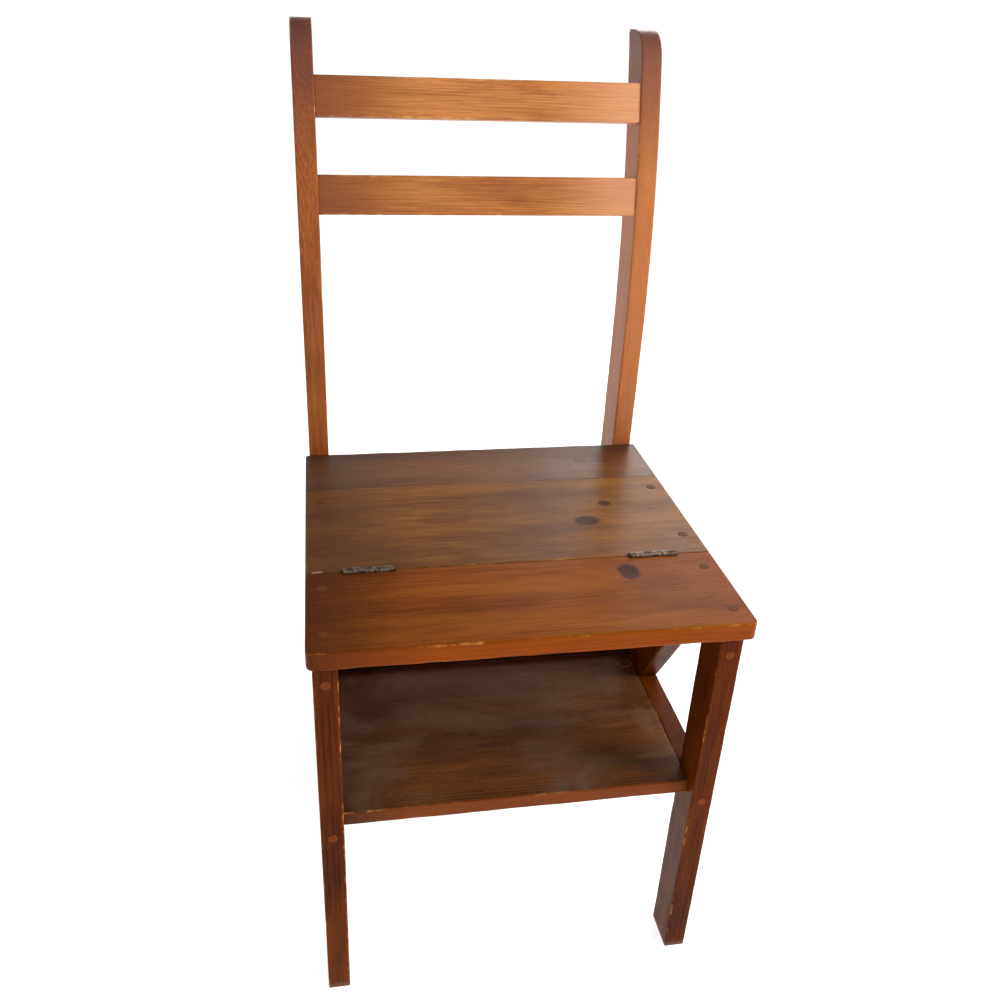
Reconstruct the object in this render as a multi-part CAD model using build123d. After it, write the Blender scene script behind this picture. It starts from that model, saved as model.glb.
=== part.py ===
from build123d import *
import math
import os

# Folding library step chair. The seat is split across its width by two butt hinges: the back
# half (backrest, rear seat boards, rear side frames) swings up and over the front half, and the
# post tops come down to the floor, so that the shelf, the seat and two more boards make four steps.
#
# Millimetres, +Z up, X across the seat, the sitter faces -Y. While the pieces are made, Y is
# measured from the seat's front edge. They are saved with the origin on the floor, under the
# middle of the whole chair.

# ---------------------------------------------------------------- driving sizes

SEAT_HEIGHT = 440.0            # floor to the seat's top face
SEAT_WIDTH = 394.0
SEAT_DEPTH = 371.0
SEAT_THICKNESS = 18.0
FRONT_BOARD_DEPTH = 120.0      # seat's front edge to the hinge line
REAR_BOARD_DEPTH = 87.0        # rearmost of the three seat boards
SEAT_OVERHANG = 4.5            # seat's ends past the side frames
FRONT_CORNER_RADIUS = 7.0
REAR_CORNER_RADIUS = 3.0

SIDE_THICKNESS = 22.0          # every member of the side frames
LEG_DEPTH = 40.0
LEG_SETBACK = 13.0             # leg's front face behind the seat's front edge
STRINGER_WIDTH = 42.5          # across the slanting members
STRINGER_TOE = 29.5            # back stringer's foot, in front of the post's foot
SIDE_RAIL_HEIGHT = 40.0        # short rails right under the seat
STEP_RAIL_HEIGHT = 30.0        # rails beside the shelf and the third step

POST_DEPTH = 47.0
POST_EXTRA = 13.0              # longer than twice the hinge's height: the tops reach the floor first
POST_STRAIGHT = 240.0          # straight middle stretch of each post
POST_CURVE_RADIUS = 1150.0     # front face, above and below the straight stretch
POST_TOP_RADIUS = 34.0         # rounded front corner at the top
POST_BACK_RADIUS = 4.0         # small rounding of the back corner at the top

SHELF_HEIGHT = 230.0           # floor to the shelf's top face
SHELF_THICKNESS = 16.0
SHELF_SETBACK = 28.0           # shelf's front edge behind the seat's front edge
THIRD_STEP_BOTTOM = 222.0      # this face is the tread once the chair is turned over
THIRD_STEP_DEPTH = 130.0
TOP_STEP_BOTTOM = 24.0
TOP_STEP_DEPTH = 84.0
STEP_THICKNESS = 16.0

SLAT_HEIGHT = 40.0
SLAT_THICKNESS = 15.0
SLAT_SETBACK = 2.0             # slat's front face behind the posts' front faces
SLATS = {"lower_back_slat": 291.0, "upper_back_slat": 385.5}    # their middles above the seat

PARTING_GAP = 1.0              # between the front half and the back half
FOLD_LIFT = 0.5                # hinge axis above the seat's top face
ARRIS = 1.5                    # rounding of the sticks' long edges
BOARD_ARRIS = 2.0              # rounding of the boards' outer edges
POST_CHAMFER = 1.2             # small bevel on the posts' curved edges

HINGE_LENGTH = 47.0
HINGE_CENTRE_X = 138.0
HINGE_BARREL = 6.5             # outside diameter of the knuckles
HINGE_PIN = 3.2
HINGE_PIN_HEAD = 4.6
HINGE_PIN_HEAD_LENGTH = 0.9
MIDDLE_KNUCKLE = 18.0
KNUCKLE_GAP = 0.4
LEAF_THICKNESS = 1.6
LEAF_MARGIN = 2.4              # leaf's lower edge above the seat's underside
PIN_TIGHT_CLEARANCE = 0.02     # radial, in the leaf that holds the pin
PIN_RUNNING_CLEARANCE = 0.05   # radial, in the leaf that turns on it
BARREL_CLEARANCE = 0.4         # between the barrel and what moves round it
LEAF_SCREW = 3.0
LEAF_SCREW_HEAD = 5.4
LEAF_SCREW_LENGTH = 16.0
LEAF_SCREW_SPREAD = 30.0       # between a leaf's two screws

PLUG = 10.0                    # wooden plugs over the screw heads
PLUG_CLEARANCE = 0.02
SCREW = 4.5
SCREW_HEAD = 8.6
SCREW_TIP = 5.0
SCREW_CLEARANCE = 0.05         # radial, round every screw
HOLE_END_CLEARANCE = 1.0       # beyond the tip of every screw and dowel
SHORT_SCREW = 30.0
BOARD_SCREW = 40.0
LONG_SCREW = 70.0
RAIL_SCREW = 80.0              # runs from the leg through the short rail into the stringer
SHALLOW_SINK = 6.0             # depth of the plugs in boards and through the rails' sides
DEEP_SINK = 10.0               # depth of the plugs in legs, stringers and posts
LEG_SCREW_INSET = 12.0         # seat screw behind the leg's front face
STRINGER_SCREW_INSET = 16.0    # seat screw before the back stringer's back face
RAIL_SCREW_Y = 258.0           # seat screw over the back half's side rail
UPPER_SCREW_DROP = 26.0        # screws through the short rails, below the seat
FOOT_SCREW_HEIGHT = 62.0       # screw from the back stringer into the post's foot

DOWEL = 8.0
DOWEL_LENGTH = 30.0
DOWEL_CLEARANCE = 0.02
SLAT_DOWEL_SPREAD = 20.0
SEAT_DOWEL_X = (-120.0, 0.0, 120.0)
CUT_REACH = 60.0               # how far cutting tools run out of a face
FOOT_WASTE = 20.0              # sawn off the posts' feet after their edges are bevelled

# ---------------------------------------------------------------- derived sizes

SEAT_UNDERSIDE = SEAT_HEIGHT - SEAT_THICKNESS
SIDE_OUTER_X = SEAT_WIDTH / 2 - SEAT_OVERHANG
SIDE_INNER_X = SIDE_OUTER_X - SIDE_THICKNESS
SIDE_MIDDLE_X = SIDE_OUTER_X - SIDE_THICKNESS / 2
HINGE_Y = FRONT_BOARD_DEPTH
HINGE_Z = SEAT_HEIGHT + FOLD_LIFT
POST_HEIGHT = 2 * HINGE_Z + POST_EXTRA
POST_MIDDLE_Z = HINGE_Z        # the posts bend alike above and below the hinge's height
POST_FRONT_Y = SEAT_DEPTH
LEG_BACK_Y = LEG_SETBACK + LEG_DEPTH
GLUE_LINE_Y = SEAT_DEPTH - REAR_BOARD_DEPTH


def curve_offset(z, radius):
    """How far an arc of this radius has moved back from the post's straight face at height z."""
    rise = max(0.0, abs(z - POST_MIDDLE_Z) - POST_STRAIGHT / 2)
    return radius - math.sqrt(radius**2 - rise**2)


def post_front(z):
    """Y of the post's front face at height z."""
    return POST_FRONT_Y + curve_offset(z, POST_CURVE_RADIUS)


def post_back(z):
    """Y of the post's back face at height z."""
    return POST_FRONT_Y + POST_DEPTH + curve_offset(z, POST_CURVE_RADIUS - POST_DEPTH)


PARTING_FOOT_Y = post_front(0) - STRINGER_TOE
PARTING_RUN = (PARTING_FOOT_Y - HINGE_Y) / SEAT_UNDERSIDE    # run back for each millimetre down
PARTING_LENGTH = math.hypot(1, PARTING_RUN)
HALF_GAP_RUN = PARTING_GAP / 2 * PARTING_LENGTH              # half the gap, measured along Y
STRINGER_RUN = STRINGER_WIDTH * PARTING_LENGTH               # stringer's width along Y


def parting(z):
    """Y of the slanting plane between the two halves at height z."""
    return HINGE_Y + (SEAT_UNDERSIDE - z) * PARTING_RUN


def front_stringer_back(z):
    return parting(z) - HALF_GAP_RUN


def front_stringer_front(z):
    return front_stringer_back(z) - STRINGER_RUN


def back_stringer_front(z):
    return parting(z) + HALF_GAP_RUN


def back_stringer_back(z):
    return back_stringer_front(z) + STRINGER_RUN


# ---------------------------------------------------------------- helpers


def box(x_range, y_range, z_range):
    """A block between two corners."""
    sizes = [high - low for low, high in (x_range, y_range, z_range)]
    corner = Pos(x_range[0], y_range[0], z_range[0])
    return corner * Box(*sizes, align=(Align.MIN, Align.MIN, Align.MIN))


def side_blank(face, side):
    """A side-frame member: a face drawn in Y and Z, given the side frame's thickness."""
    x_start = SIDE_INNER_X if side > 0 else -SIDE_OUTER_X
    return Pos(x_start, 0, 0) * extrude(Plane.YZ * face, SIDE_THICKNESS)


def polygon(*points):
    """A straight-sided face in Y and Z."""
    return make_face(Polyline(*points, close=True))


def rod(point, direction, radius, start, end):
    """A cylinder along a direction, from one distance past the point to another."""
    frame = Plane(origin=point, z_dir=direction)
    bar = Cylinder(radius, end - start, align=(Align.CENTER, Align.CENTER, Align.MIN))
    return frame * Pos(0, 0, start) * bar


def screw(fixing, grow=0.0, past_tip=0.0):
    """A countersunk wood screw. A fixing is (point on the face, direction, sink, length)."""
    point, direction, sink, length = fixing
    frame = Plane(origin=point, z_dir=direction)
    base = (Align.CENTER, Align.CENTER, Align.MIN)
    shank_radius = SCREW / 2 + grow
    head_height = (SCREW_HEAD - SCREW) / 2
    head = Pos(0, 0, sink) * Cone(SCREW_HEAD / 2 + grow, shank_radius, head_height, align=base)
    shank_length = length - head_height - SCREW_TIP
    shank = Pos(0, 0, sink + head_height) * Cylinder(shank_radius, shank_length, align=base)
    tip_start = sink + length - SCREW_TIP
    tip = Pos(0, 0, tip_start) * Cone(shank_radius, shank_radius / 4, SCREW_TIP + past_tip, align=base)
    return frame * (head + shank + tip)


def screw_hole(fixing):
    """What a fixing cuts: the plug's counterbore and a close hole round the screw."""
    point, direction, sink, _ = fixing
    counterbore = rod(point, direction, PLUG / 2, -CUT_REACH, sink)
    return counterbore + screw(fixing, grow=SCREW_CLEARANCE, past_tip=HOLE_END_CLEARANCE)


def plug(fixing, blank):
    """The wooden plug over a screw, trimmed flush with the face that it is in."""
    point, direction, sink, _ = fixing
    return rod(point, direction, PLUG / 2 - PLUG_CLEARANCE, -CUT_REACH, sink) & blank


def drill(shape, fixings):
    """Cut the holes of every fixing that meets the shape."""
    for fixing in fixings:
        shape = shape - screw_hole(fixing)
    return shape


def dowel(centre, direction, length=DOWEL_LENGTH):
    return rod(centre, direction, DOWEL / 2, -length / 2, length / 2)


def dowel_hole(centre, direction, length=DOWEL_LENGTH):
    half = length / 2 + HOLE_END_CLEARANCE
    return rod(centre, direction, DOWEL / 2 + DOWEL_CLEARANCE, -half, half)


nodes = {}


def add(name, shape):
    """Keep one node: a single solid, or a group of separate solids."""
    nodes[name] = shape


SIDES = {"left": -1, "right": 1}

# ---------------------------------------------------------------- fixings
# Each list is (point on the face, direction, sink, length), one entry a screw.

leg_fixings = []
front_stringer_fixings = []
front_seat_fixings = []
shelf_fixings = []
back_seat_fixings = []
back_stringer_fixings = []
post_fixings = []
step_fixings = []

DOWN = (0, 0, -1)
FORWARD = (0, -1, 0)
BACKWARD = (0, 1, 0)
upper_screw_z = SEAT_UNDERSIDE - UPPER_SCREW_DROP
shelf_rail_z = SHELF_HEIGHT - STEP_RAIL_HEIGHT / 2
shelf_middle_z = SHELF_HEIGHT - SHELF_THICKNESS / 2
step_rail_z = THIRD_STEP_BOTTOM + STEP_RAIL_HEIGHT / 2
third_step_z = THIRD_STEP_BOTTOM + STEP_THICKNESS / 2
top_step_z = TOP_STEP_BOTTOM + STEP_THICKNESS / 2
front_seat_screw_y = LEG_SETBACK + LEG_SCREW_INSET
stringer_top_middle_y = front_stringer_back(SEAT_UNDERSIDE) - STRINGER_RUN / 2
back_seat_screw_y = back_stringer_back(SEAT_UNDERSIDE) - STRINGER_SCREW_INSET
leg_middle_y = LEG_SETBACK + LEG_DEPTH / 2
shelf_screws_y = (
    leg_middle_y + SCREW,
    (LEG_BACK_Y + front_stringer_front(shelf_middle_z)) / 2,
    front_stringer_front(shelf_middle_z) + STRINGER_RUN / 2,
)
third_step_screws_y = (
    back_stringer_front(third_step_z) + STRINGER_RUN / 2,
    (back_stringer_back(third_step_z) + post_front(third_step_z)) / 2,
)
top_step_screws_y = (
    (back_stringer_front(top_step_z) + post_front(top_step_z)) / 2,
    (post_front(top_step_z) + post_back(top_step_z)) / 2,
)

for side in SIDES.values():
    x = side * SIDE_MIDDLE_X
    x_face = side * SIDE_OUTER_X
    inward = (-side, 0, 0)
    leg_fixings.append(((x, LEG_SETBACK, upper_screw_z), BACKWARD, DEEP_SINK, RAIL_SCREW))
    leg_fixings.append(((x, LEG_SETBACK, shelf_rail_z), BACKWARD, DEEP_SINK, LONG_SCREW))
    rail_end = (x, front_stringer_back(shelf_rail_z), shelf_rail_z)
    front_stringer_fixings.append((rail_end, FORWARD, DEEP_SINK, LONG_SCREW))
    for y in (front_seat_screw_y, stringer_top_middle_y):
        front_seat_fixings.append(((x, y, SEAT_HEIGHT), DOWN, SHALLOW_SINK, SHORT_SCREW))
    for y in shelf_screws_y:
        shelf_fixings.append(((x_face, y, shelf_middle_z), inward, SHALLOW_SINK, BOARD_SCREW))
    for y in (back_seat_screw_y, RAIL_SCREW_Y):
        back_seat_fixings.append(((x, y, SEAT_HEIGHT), DOWN, SHALLOW_SINK, SHORT_SCREW))
    for z in (upper_screw_z, step_rail_z, FOOT_SCREW_HEIGHT):
        stringer_face = (x, back_stringer_front(z), z)
        back_stringer_fixings.append((stringer_face, BACKWARD, DEEP_SINK, LONG_SCREW))
    for z in (upper_screw_z, step_rail_z):
        post_fixings.append(((x, post_back(z), z), FORWARD, DEEP_SINK, LONG_SCREW))
    for y in third_step_screws_y:
        step_fixings.append(((x_face, y, third_step_z), inward, SHALLOW_SINK, BOARD_SCREW))
    for y in top_step_screws_y:
        step_fixings.append(((x_face, y, top_step_z), inward, SHALLOW_SINK, BOARD_SCREW))

# ---------------------------------------------------------------- front side frames


def on_side(fixings, side):
    """The fixings of one side frame."""
    return [fixing for fixing in fixings if fixing[0][0] * side > 0]


def front_leg(side):
    outline = polygon(
        (LEG_SETBACK, 0), (LEG_BACK_Y, 0), (LEG_BACK_Y, SEAT_UNDERSIDE), (LEG_SETBACK, SEAT_UNDERSIDE)
    )
    blank = side_blank(outline, side)
    return fillet(blank.edges().filter_by(Axis.Z), ARRIS)


def slanting_edges(shape):
    """The long edges of a stringer."""
    slope = Vector(0, PARTING_RUN, -1).normalized()
    return [edge for edge in shape.edges() if abs(abs(edge.tangent_at(0.5).dot(slope)) - 1) < 1e-6]


def front_stringer(side):
    outline = polygon(
        (front_stringer_front(0), 0),
        (front_stringer_back(0), 0),
        (front_stringer_back(SEAT_UNDERSIDE), SEAT_UNDERSIDE),
        (front_stringer_front(SEAT_UNDERSIDE), SEAT_UNDERSIDE),
    )
    blank = side_blank(outline, side)
    return fillet(slanting_edges(blank), ARRIS)


def front_rail(side, top, height):
    """A rail from the leg's back face to the stringer's slanting front face."""
    bottom = top - height
    outline = polygon(
        (LEG_BACK_Y, bottom),
        (front_stringer_front(bottom), bottom),
        (front_stringer_front(top), top),
        (LEG_BACK_Y, top),
    )
    blank = side_blank(outline, side)
    return fillet(blank.edges().filter_by(Axis.Y), ARRIS)


# ---------------------------------------------------------------- back side frames


def post_outline():
    """The post's face in Y and Z: straight in the middle, curving back towards both ends. The foot is
    left long, to be sawn off level with the floor."""
    foot = -FOOT_WASTE
    low = POST_MIDDLE_Z - POST_STRAIGHT / 2
    high = POST_MIDDLE_Z + POST_STRAIGHT / 2
    bend_low = (foot + low) / 2
    bend_high = (high + POST_HEIGHT) / 2
    stations = [foot, bend_low, low, high, bend_high, POST_HEIGHT]
    front = [(post_front(z), z) for z in stations]
    back = [(post_back(z), z) for z in stations]
    outline = make_face(
        [
            ThreePointArc(*front[:3]),
            Line(front[2], front[3]),
            ThreePointArc(*front[3:]),
            Line(front[5], back[5]),
            ThreePointArc(*back[3:]),
            Line(back[2], back[3]),
            ThreePointArc(*back[:3]),
            Line(front[0], back[0]),
        ]
    )
    front_corner = outline.vertices().group_by(Axis.Y)[-1].sort_by(Axis.X)[0]
    outline = fillet(front_corner, POST_TOP_RADIUS)
    back_corner = outline.vertices().group_by(Axis.Y)[-1].sort_by(Axis.X)[-1]
    return fillet(back_corner, POST_BACK_RADIUS)


def back_post(side):
    blank = side_blank(post_outline(), side)
    side_edges = blank.faces().filter_by(Axis.X).edges()
    long_edges = [edge for edge in side_edges if edge.center().Z > 0]
    waste = box((-SEAT_WIDTH, SEAT_WIDTH), (0, 2 * SEAT_DEPTH), (-CUT_REACH, 0))
    return chamfer(long_edges, POST_CHAMFER) - waste


def post_space(side):
    """The post without its bevels, for cutting what butts against it."""
    return side_blank(post_outline(), side)


def back_stringer(side):
    outline = polygon(
        (back_stringer_front(0), 0),
        (back_stringer_back(0), 0),
        (back_stringer_back(SEAT_UNDERSIDE), SEAT_UNDERSIDE),
        (back_stringer_front(SEAT_UNDERSIDE), SEAT_UNDERSIDE),
    )
    blank = side_blank(outline, side)
    return fillet(slanting_edges(blank), ARRIS) - post_space(side)


def back_rail(side, bottom, height):
    """A rail from the back stringer's slanting back face to the post's front face."""
    top = bottom + height
    inside_post = POST_FRONT_Y + POST_DEPTH / 2
    outline = polygon(
        (back_stringer_back(bottom), bottom),
        (inside_post, bottom),
        (inside_post, top),
        (back_stringer_back(top), top),
    )
    blank = side_blank(outline, side)
    return fillet(blank.edges().filter_by(Axis.Y), ARRIS) - post_space(side)


# ---------------------------------------------------------------- boards


def cross_board(front_line, back_line, z_range):
    """A board between the side frames, from one line y(z) to another. Its upright edge is rounded,
    and its slanting edge lies along the parting of the two halves."""
    bottom, top = z_range
    outline = polygon(
        (front_line(bottom), bottom),
        (back_line(bottom), bottom),
        (back_line(top), top),
        (front_line(top), top),
    )
    blank = Pos(-SIDE_INNER_X, 0, 0) * extrude(Plane.YZ * outline, 2 * SIDE_INNER_X)
    upright = [line(bottom) for line in (front_line, back_line) if line(bottom) == line(top)]
    rounded = []
    for edge in blank.edges().filter_by(Axis.X):
        if any(abs(edge.center().Y - y) < 1e-6 for y in upright):
            rounded.append(edge)
    return fillet(rounded, BOARD_ARRIS)


def seat_board(y_range, corner_radius=0.0, corners_at_front=True):
    """A seat board: rounded corners on one edge if asked, and rounded end arrises."""
    half = SEAT_WIDTH / 2
    blank = box((-half, half), y_range, (SEAT_UNDERSIDE, SEAT_HEIGHT))
    if corner_radius:
        rows = blank.edges().filter_by(Axis.Z).group_by(Axis.Y)
        blank = fillet(rows[0] if corners_at_front else rows[-1], corner_radius)
    flat_faces = blank.faces().filter_by(Axis.Z)
    joint_y = y_range[1] if corners_at_front else y_range[0]
    outer_edges = []
    for edge in flat_faces.edges():
        middle = edge.center()
        on_joint = abs(middle.Y - joint_y) < 1e-6
        on_other_joint = not corner_radius and abs(abs(middle.X) - half) > 1e-6
        if not on_joint and not on_other_joint:
            outer_edges.append(edge)
    return fillet(outer_edges, BOARD_ARRIS)


def slat_place(height):
    """Where a slat's middle is, and how far it leans back in radians, at this height above the seat."""
    z = SEAT_HEIGHT + height
    lean = math.asin((z - POST_MIDDLE_Z - POST_STRAIGHT / 2) / POST_CURVE_RADIUS)
    depth = SLAT_SETBACK + SLAT_THICKNESS / 2
    return post_front(z) + depth * math.cos(lean), z - depth * math.sin(lean), lean


def slat(height):
    """A back slat between the posts, leaning with their front faces."""
    y, z, lean = slat_place(height)
    blank = Box(2 * SIDE_INNER_X, SLAT_THICKNESS, SLAT_HEIGHT)
    eased = fillet(blank.edges().filter_by(Axis.X), BOARD_ARRIS)
    return Pos(0, y, z) * Rot(-math.degrees(lean), 0, 0) * eased


def slat_dowel_centres(height):
    """Two dowels at each end of a slat, half in the slat and half in the post."""
    y, z, lean = slat_place(height)
    centres = []
    for side in SIDES.values():
        for along in (-SLAT_DOWEL_SPREAD / 2, SLAT_DOWEL_SPREAD / 2):
            centres.append((side * SIDE_INNER_X, y + along * math.sin(lean), z + along * math.cos(lean)))
    return centres


# ---------------------------------------------------------------- hinges

barrel_radius = HINGE_BARREL / 2
leaf_top_z = HINGE_Z - barrel_radius - BARREL_CLEARANCE
leaf_bottom_z = SEAT_UNDERSIDE + LEAF_MARGIN
leaf_screw_z = (leaf_top_z + leaf_bottom_z) / 2
outer_knuckle = (HINGE_LENGTH - MIDDLE_KNUCKLE) / 2 - KNUCKLE_GAP
knuckle_spans = {
    "front": [
        (-HINGE_LENGTH / 2, -HINGE_LENGTH / 2 + outer_knuckle),
        (HINGE_LENGTH / 2 - outer_knuckle, HINGE_LENGTH / 2),
    ],
    "back": [(-MIDDLE_KNUCKLE / 2, MIDDLE_KNUCKLE / 2)],
}
leaf_face_y = {"front": HINGE_Y - PARTING_GAP / 2, "back": HINGE_Y + PARTING_GAP / 2}
leaf_direction = {"front": -1, "back": 1}


def leaf_y_range(half):
    """The leaf's thickness lies in its board's edge, flush with it."""
    face = leaf_face_y[half]
    return sorted((face, face + leaf_direction[half] * LEAF_THICKNESS))


def leaf_screw_frames(centre_x, half):
    """Where a leaf's screws go: flush with the leaf's face, into the board's edge."""
    direction = (0, leaf_direction[half], 0)
    points = []
    for offset in (-LEAF_SCREW_SPREAD / 2, LEAF_SCREW_SPREAD / 2):
        points.append(Plane(origin=(centre_x + offset, leaf_face_y[half], leaf_screw_z), z_dir=direction))
    return points


def leaf_screw(grow=0.0, slotted=False):
    """A small countersunk screw along +Z, its head flush with Z = 0."""
    base = (Align.CENTER, Align.CENTER, Align.MIN)
    head_height = (LEAF_SCREW_HEAD - LEAF_SCREW) / 2
    tip = LEAF_SCREW
    shank_radius = LEAF_SCREW / 2 + grow
    body = Cone(LEAF_SCREW_HEAD / 2 + grow, shank_radius, head_height, align=base)
    body += Pos(0, 0, head_height) * Cylinder(shank_radius, LEAF_SCREW_LENGTH - head_height - tip, align=base)
    body += Pos(0, 0, LEAF_SCREW_LENGTH - tip) * Cone(shank_radius, shank_radius / 4, tip, align=base)
    if slotted:
        body -= Box(LEAF_SCREW_HEAD, 0.8, 1.0)
    return body


def hinge_leaf(centre_x, half):
    """One leaf with its knuckles, bored for the pin and countersunk for its screws."""
    tight = half == "front"
    clearance = PIN_TIGHT_CLEARANCE if tight else PIN_RUNNING_CLEARANCE
    x_range = (centre_x - HINGE_LENGTH / 2, centre_x + HINGE_LENGTH / 2)
    leaf = box(x_range, leaf_y_range(half), (leaf_bottom_z, leaf_top_z))
    for start, end in knuckle_spans[half]:
        span = (centre_x + start, centre_x + end)
        leaf += box(span, leaf_y_range(half), (leaf_top_z, HINGE_Z))
        leaf += rod((centre_x, HINGE_Y, HINGE_Z), (1, 0, 0), barrel_radius, start, end)
    reach = HINGE_LENGTH
    leaf -= rod((centre_x, HINGE_Y, HINGE_Z), (1, 0, 0), HINGE_PIN / 2 + clearance, -reach, reach)
    for frame in leaf_screw_frames(centre_x, half):
        leaf -= frame * leaf_screw(grow=SCREW_CLEARANCE)
    return leaf


def hinge_pin(centre_x):
    """The pin, riveted over at both ends of the barrel."""
    half = HINGE_LENGTH / 2
    point = (centre_x, HINGE_Y, HINGE_Z)
    pin = rod(point, (1, 0, 0), HINGE_PIN / 2, -half, half)
    for start in (-half - HINGE_PIN_HEAD_LENGTH, half):
        head = rod(point, (1, 0, 0), HINGE_PIN_HEAD / 2, start, start + HINGE_PIN_HEAD_LENGTH)
        pin += head
    return pin


def hinge_mortise(centre_x, half):
    """The space that a hinge takes in a board: the leaf, and a groove round the barrel."""
    x_half = HINGE_LENGTH / 2
    direction = leaf_direction[half]
    face = leaf_face_y[half]
    leaf_back = face + direction * LEAF_THICKNESS
    groove_back = HINGE_Y + direction * (barrel_radius + BARREL_CLEARANCE)
    past_gap = face - direction * PARTING_GAP / 2
    leaf_space = box(
        (centre_x - x_half, centre_x + x_half),
        sorted((past_gap, leaf_back)),
        (leaf_bottom_z, HINGE_Z + barrel_radius),
    )
    groove_half = x_half + HINGE_PIN_HEAD_LENGTH + BARREL_CLEARANCE
    groove = box(
        (centre_x - groove_half, centre_x + groove_half),
        sorted((past_gap, groove_back)),
        (leaf_top_z, HINGE_Z + barrel_radius),
    )
    mortise = leaf_space + groove
    for frame in leaf_screw_frames(centre_x, half):
        mortise += frame * leaf_screw(grow=SCREW_CLEARANCE)
    return mortise


# ---------------------------------------------------------------- putting it together

front_plugs = {"leg": [], "stringer": [], "shelf": []}
back_plugs = {"stringer": [], "post": [], "step": []}
slat_centres = [centre for height in SLATS.values() for centre in slat_dowel_centres(height)]

for name, side in SIDES.items():
    leg = front_leg(side)
    stringer = front_stringer(side)
    shelf_rail = front_rail(side, SHELF_HEIGHT, STEP_RAIL_HEIGHT)
    upper_rail = front_rail(side, SEAT_UNDERSIDE, SIDE_RAIL_HEIGHT)
    from_leg = on_side(leg_fixings, side)
    from_stringer = on_side(front_stringer_fixings, side)
    seat_screws = on_side(front_seat_fixings, side)
    into_leg, into_rail, into_stringer = ([fixing] for fixing in on_side(shelf_fixings, side))
    front_plugs["leg"] += [plug(fixing, leg) for fixing in from_leg]
    front_plugs["stringer"] += [plug(fixing, stringer) for fixing in from_stringer]
    front_plugs["shelf"] += [plug(into_leg[0], leg), plug(into_rail[0], shelf_rail)]
    front_plugs["shelf"].append(plug(into_stringer[0], stringer))
    add(f"front_leg_{name}", drill(leg, from_leg + seat_screws[:1] + into_leg))
    in_stringer = from_leg[:1] + from_stringer + seat_screws[1:] + into_stringer
    add(f"front_stringer_{name}", drill(stringer, in_stringer))
    add(f"shelf_rail_{name}", drill(shelf_rail, from_leg[1:] + from_stringer + into_rail))
    add(f"front_seat_rail_{name}", drill(upper_rail, from_leg[:1]))

    post = back_post(side)
    stringer = back_stringer(side)
    seat_rail = back_rail(side, SEAT_UNDERSIDE - SIDE_RAIL_HEIGHT, SIDE_RAIL_HEIGHT)
    step_rail = back_rail(side, THIRD_STEP_BOTTOM, STEP_RAIL_HEIGHT)
    from_stringer = on_side(back_stringer_fixings, side)
    from_post = on_side(post_fixings, side)
    seat_screws = on_side(back_seat_fixings, side)
    third_stringer, third_rail, top_stringer, top_post = on_side(step_fixings, side)
    back_plugs["stringer"] += [plug(fixing, stringer) for fixing in from_stringer]
    back_plugs["post"] += [plug(fixing, post) for fixing in from_post]
    back_plugs["step"] += [plug(third_stringer, stringer), plug(third_rail, step_rail)]
    back_plugs["step"] += [plug(top_stringer, stringer), plug(top_post, post)]
    drilled_post = drill(post, from_post + from_stringer[2:] + [top_post])
    for centre in slat_centres:
        if centre[0] * side > 0:
            drilled_post -= dowel_hole(centre, (1, 0, 0))
    add(f"back_post_{name}", drilled_post)
    add(
        f"back_stringer_{name}",
        drill(stringer, from_stringer + seat_screws[:1] + [third_stringer, top_stringer]),
    )
    add(f"back_seat_rail_{name}", drill(seat_rail, from_stringer[:1] + from_post[:1] + seat_screws[1:]))
    add(f"step_rail_{name}", drill(step_rail, from_stringer[1:2] + from_post[1:] + [third_rail]))

# The seat's three boards.
hinge_centres = {name: side * HINGE_CENTRE_X for name, side in SIDES.items()}
front_edge_y = HINGE_Y - PARTING_GAP / 2
middle_edge_y = HINGE_Y + PARTING_GAP / 2
front_board_blank = seat_board((0, front_edge_y), FRONT_CORNER_RADIUS)
middle_board_blank = seat_board((middle_edge_y, GLUE_LINE_Y))
rear_board_blank = seat_board((GLUE_LINE_Y, SEAT_DEPTH), REAR_CORNER_RADIUS, corners_at_front=False)
seat_middle_z = SEAT_HEIGHT - SEAT_THICKNESS / 2
seat_dowel_centres = [(x, GLUE_LINE_Y, seat_middle_z) for x in SEAT_DOWEL_X]
seat_dowel_cuts = [dowel_hole(centre, BACKWARD) for centre in seat_dowel_centres]

front_board = drill(front_board_blank, front_seat_fixings)
middle_board = drill(middle_board_blank, back_seat_fixings)
rear_board = rear_board_blank
for centre_x in hinge_centres.values():
    front_board -= hinge_mortise(centre_x, "front")
    middle_board -= hinge_mortise(centre_x, "back")
for cut in seat_dowel_cuts:
    middle_board -= cut
    rear_board -= cut
add("seat_front_board", front_board)
add("seat_middle_board", middle_board)
add("seat_rear_board", rear_board)

# The shelf and the two step boards behind it.
shelf_heights = (SHELF_HEIGHT - SHELF_THICKNESS, SHELF_HEIGHT)
shelf = cross_board(lambda z: SHELF_SETBACK, front_stringer_back, shelf_heights)
add("shelf_board", drill(shelf, shelf_fixings))
for node, bottom, depth in (
    ("third_step_board", THIRD_STEP_BOTTOM, THIRD_STEP_DEPTH),
    ("top_step_board", TOP_STEP_BOTTOM, TOP_STEP_DEPTH),
):
    back_y = back_stringer_front(bottom) + depth
    step_heights = (bottom, bottom + STEP_THICKNESS)
    board = cross_board(back_stringer_front, lambda z, back_y=back_y: back_y, step_heights)
    held_by = [fixing for fixing in step_fixings if bottom < fixing[0][2] < bottom + STEP_THICKNESS]
    add(node, drill(board, held_by))

# The back slats.
for node, height in SLATS.items():
    drilled = slat(height)
    for centre in slat_dowel_centres(height):
        drilled -= dowel_hole(centre, (1, 0, 0))
    add(node, drilled)

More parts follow.
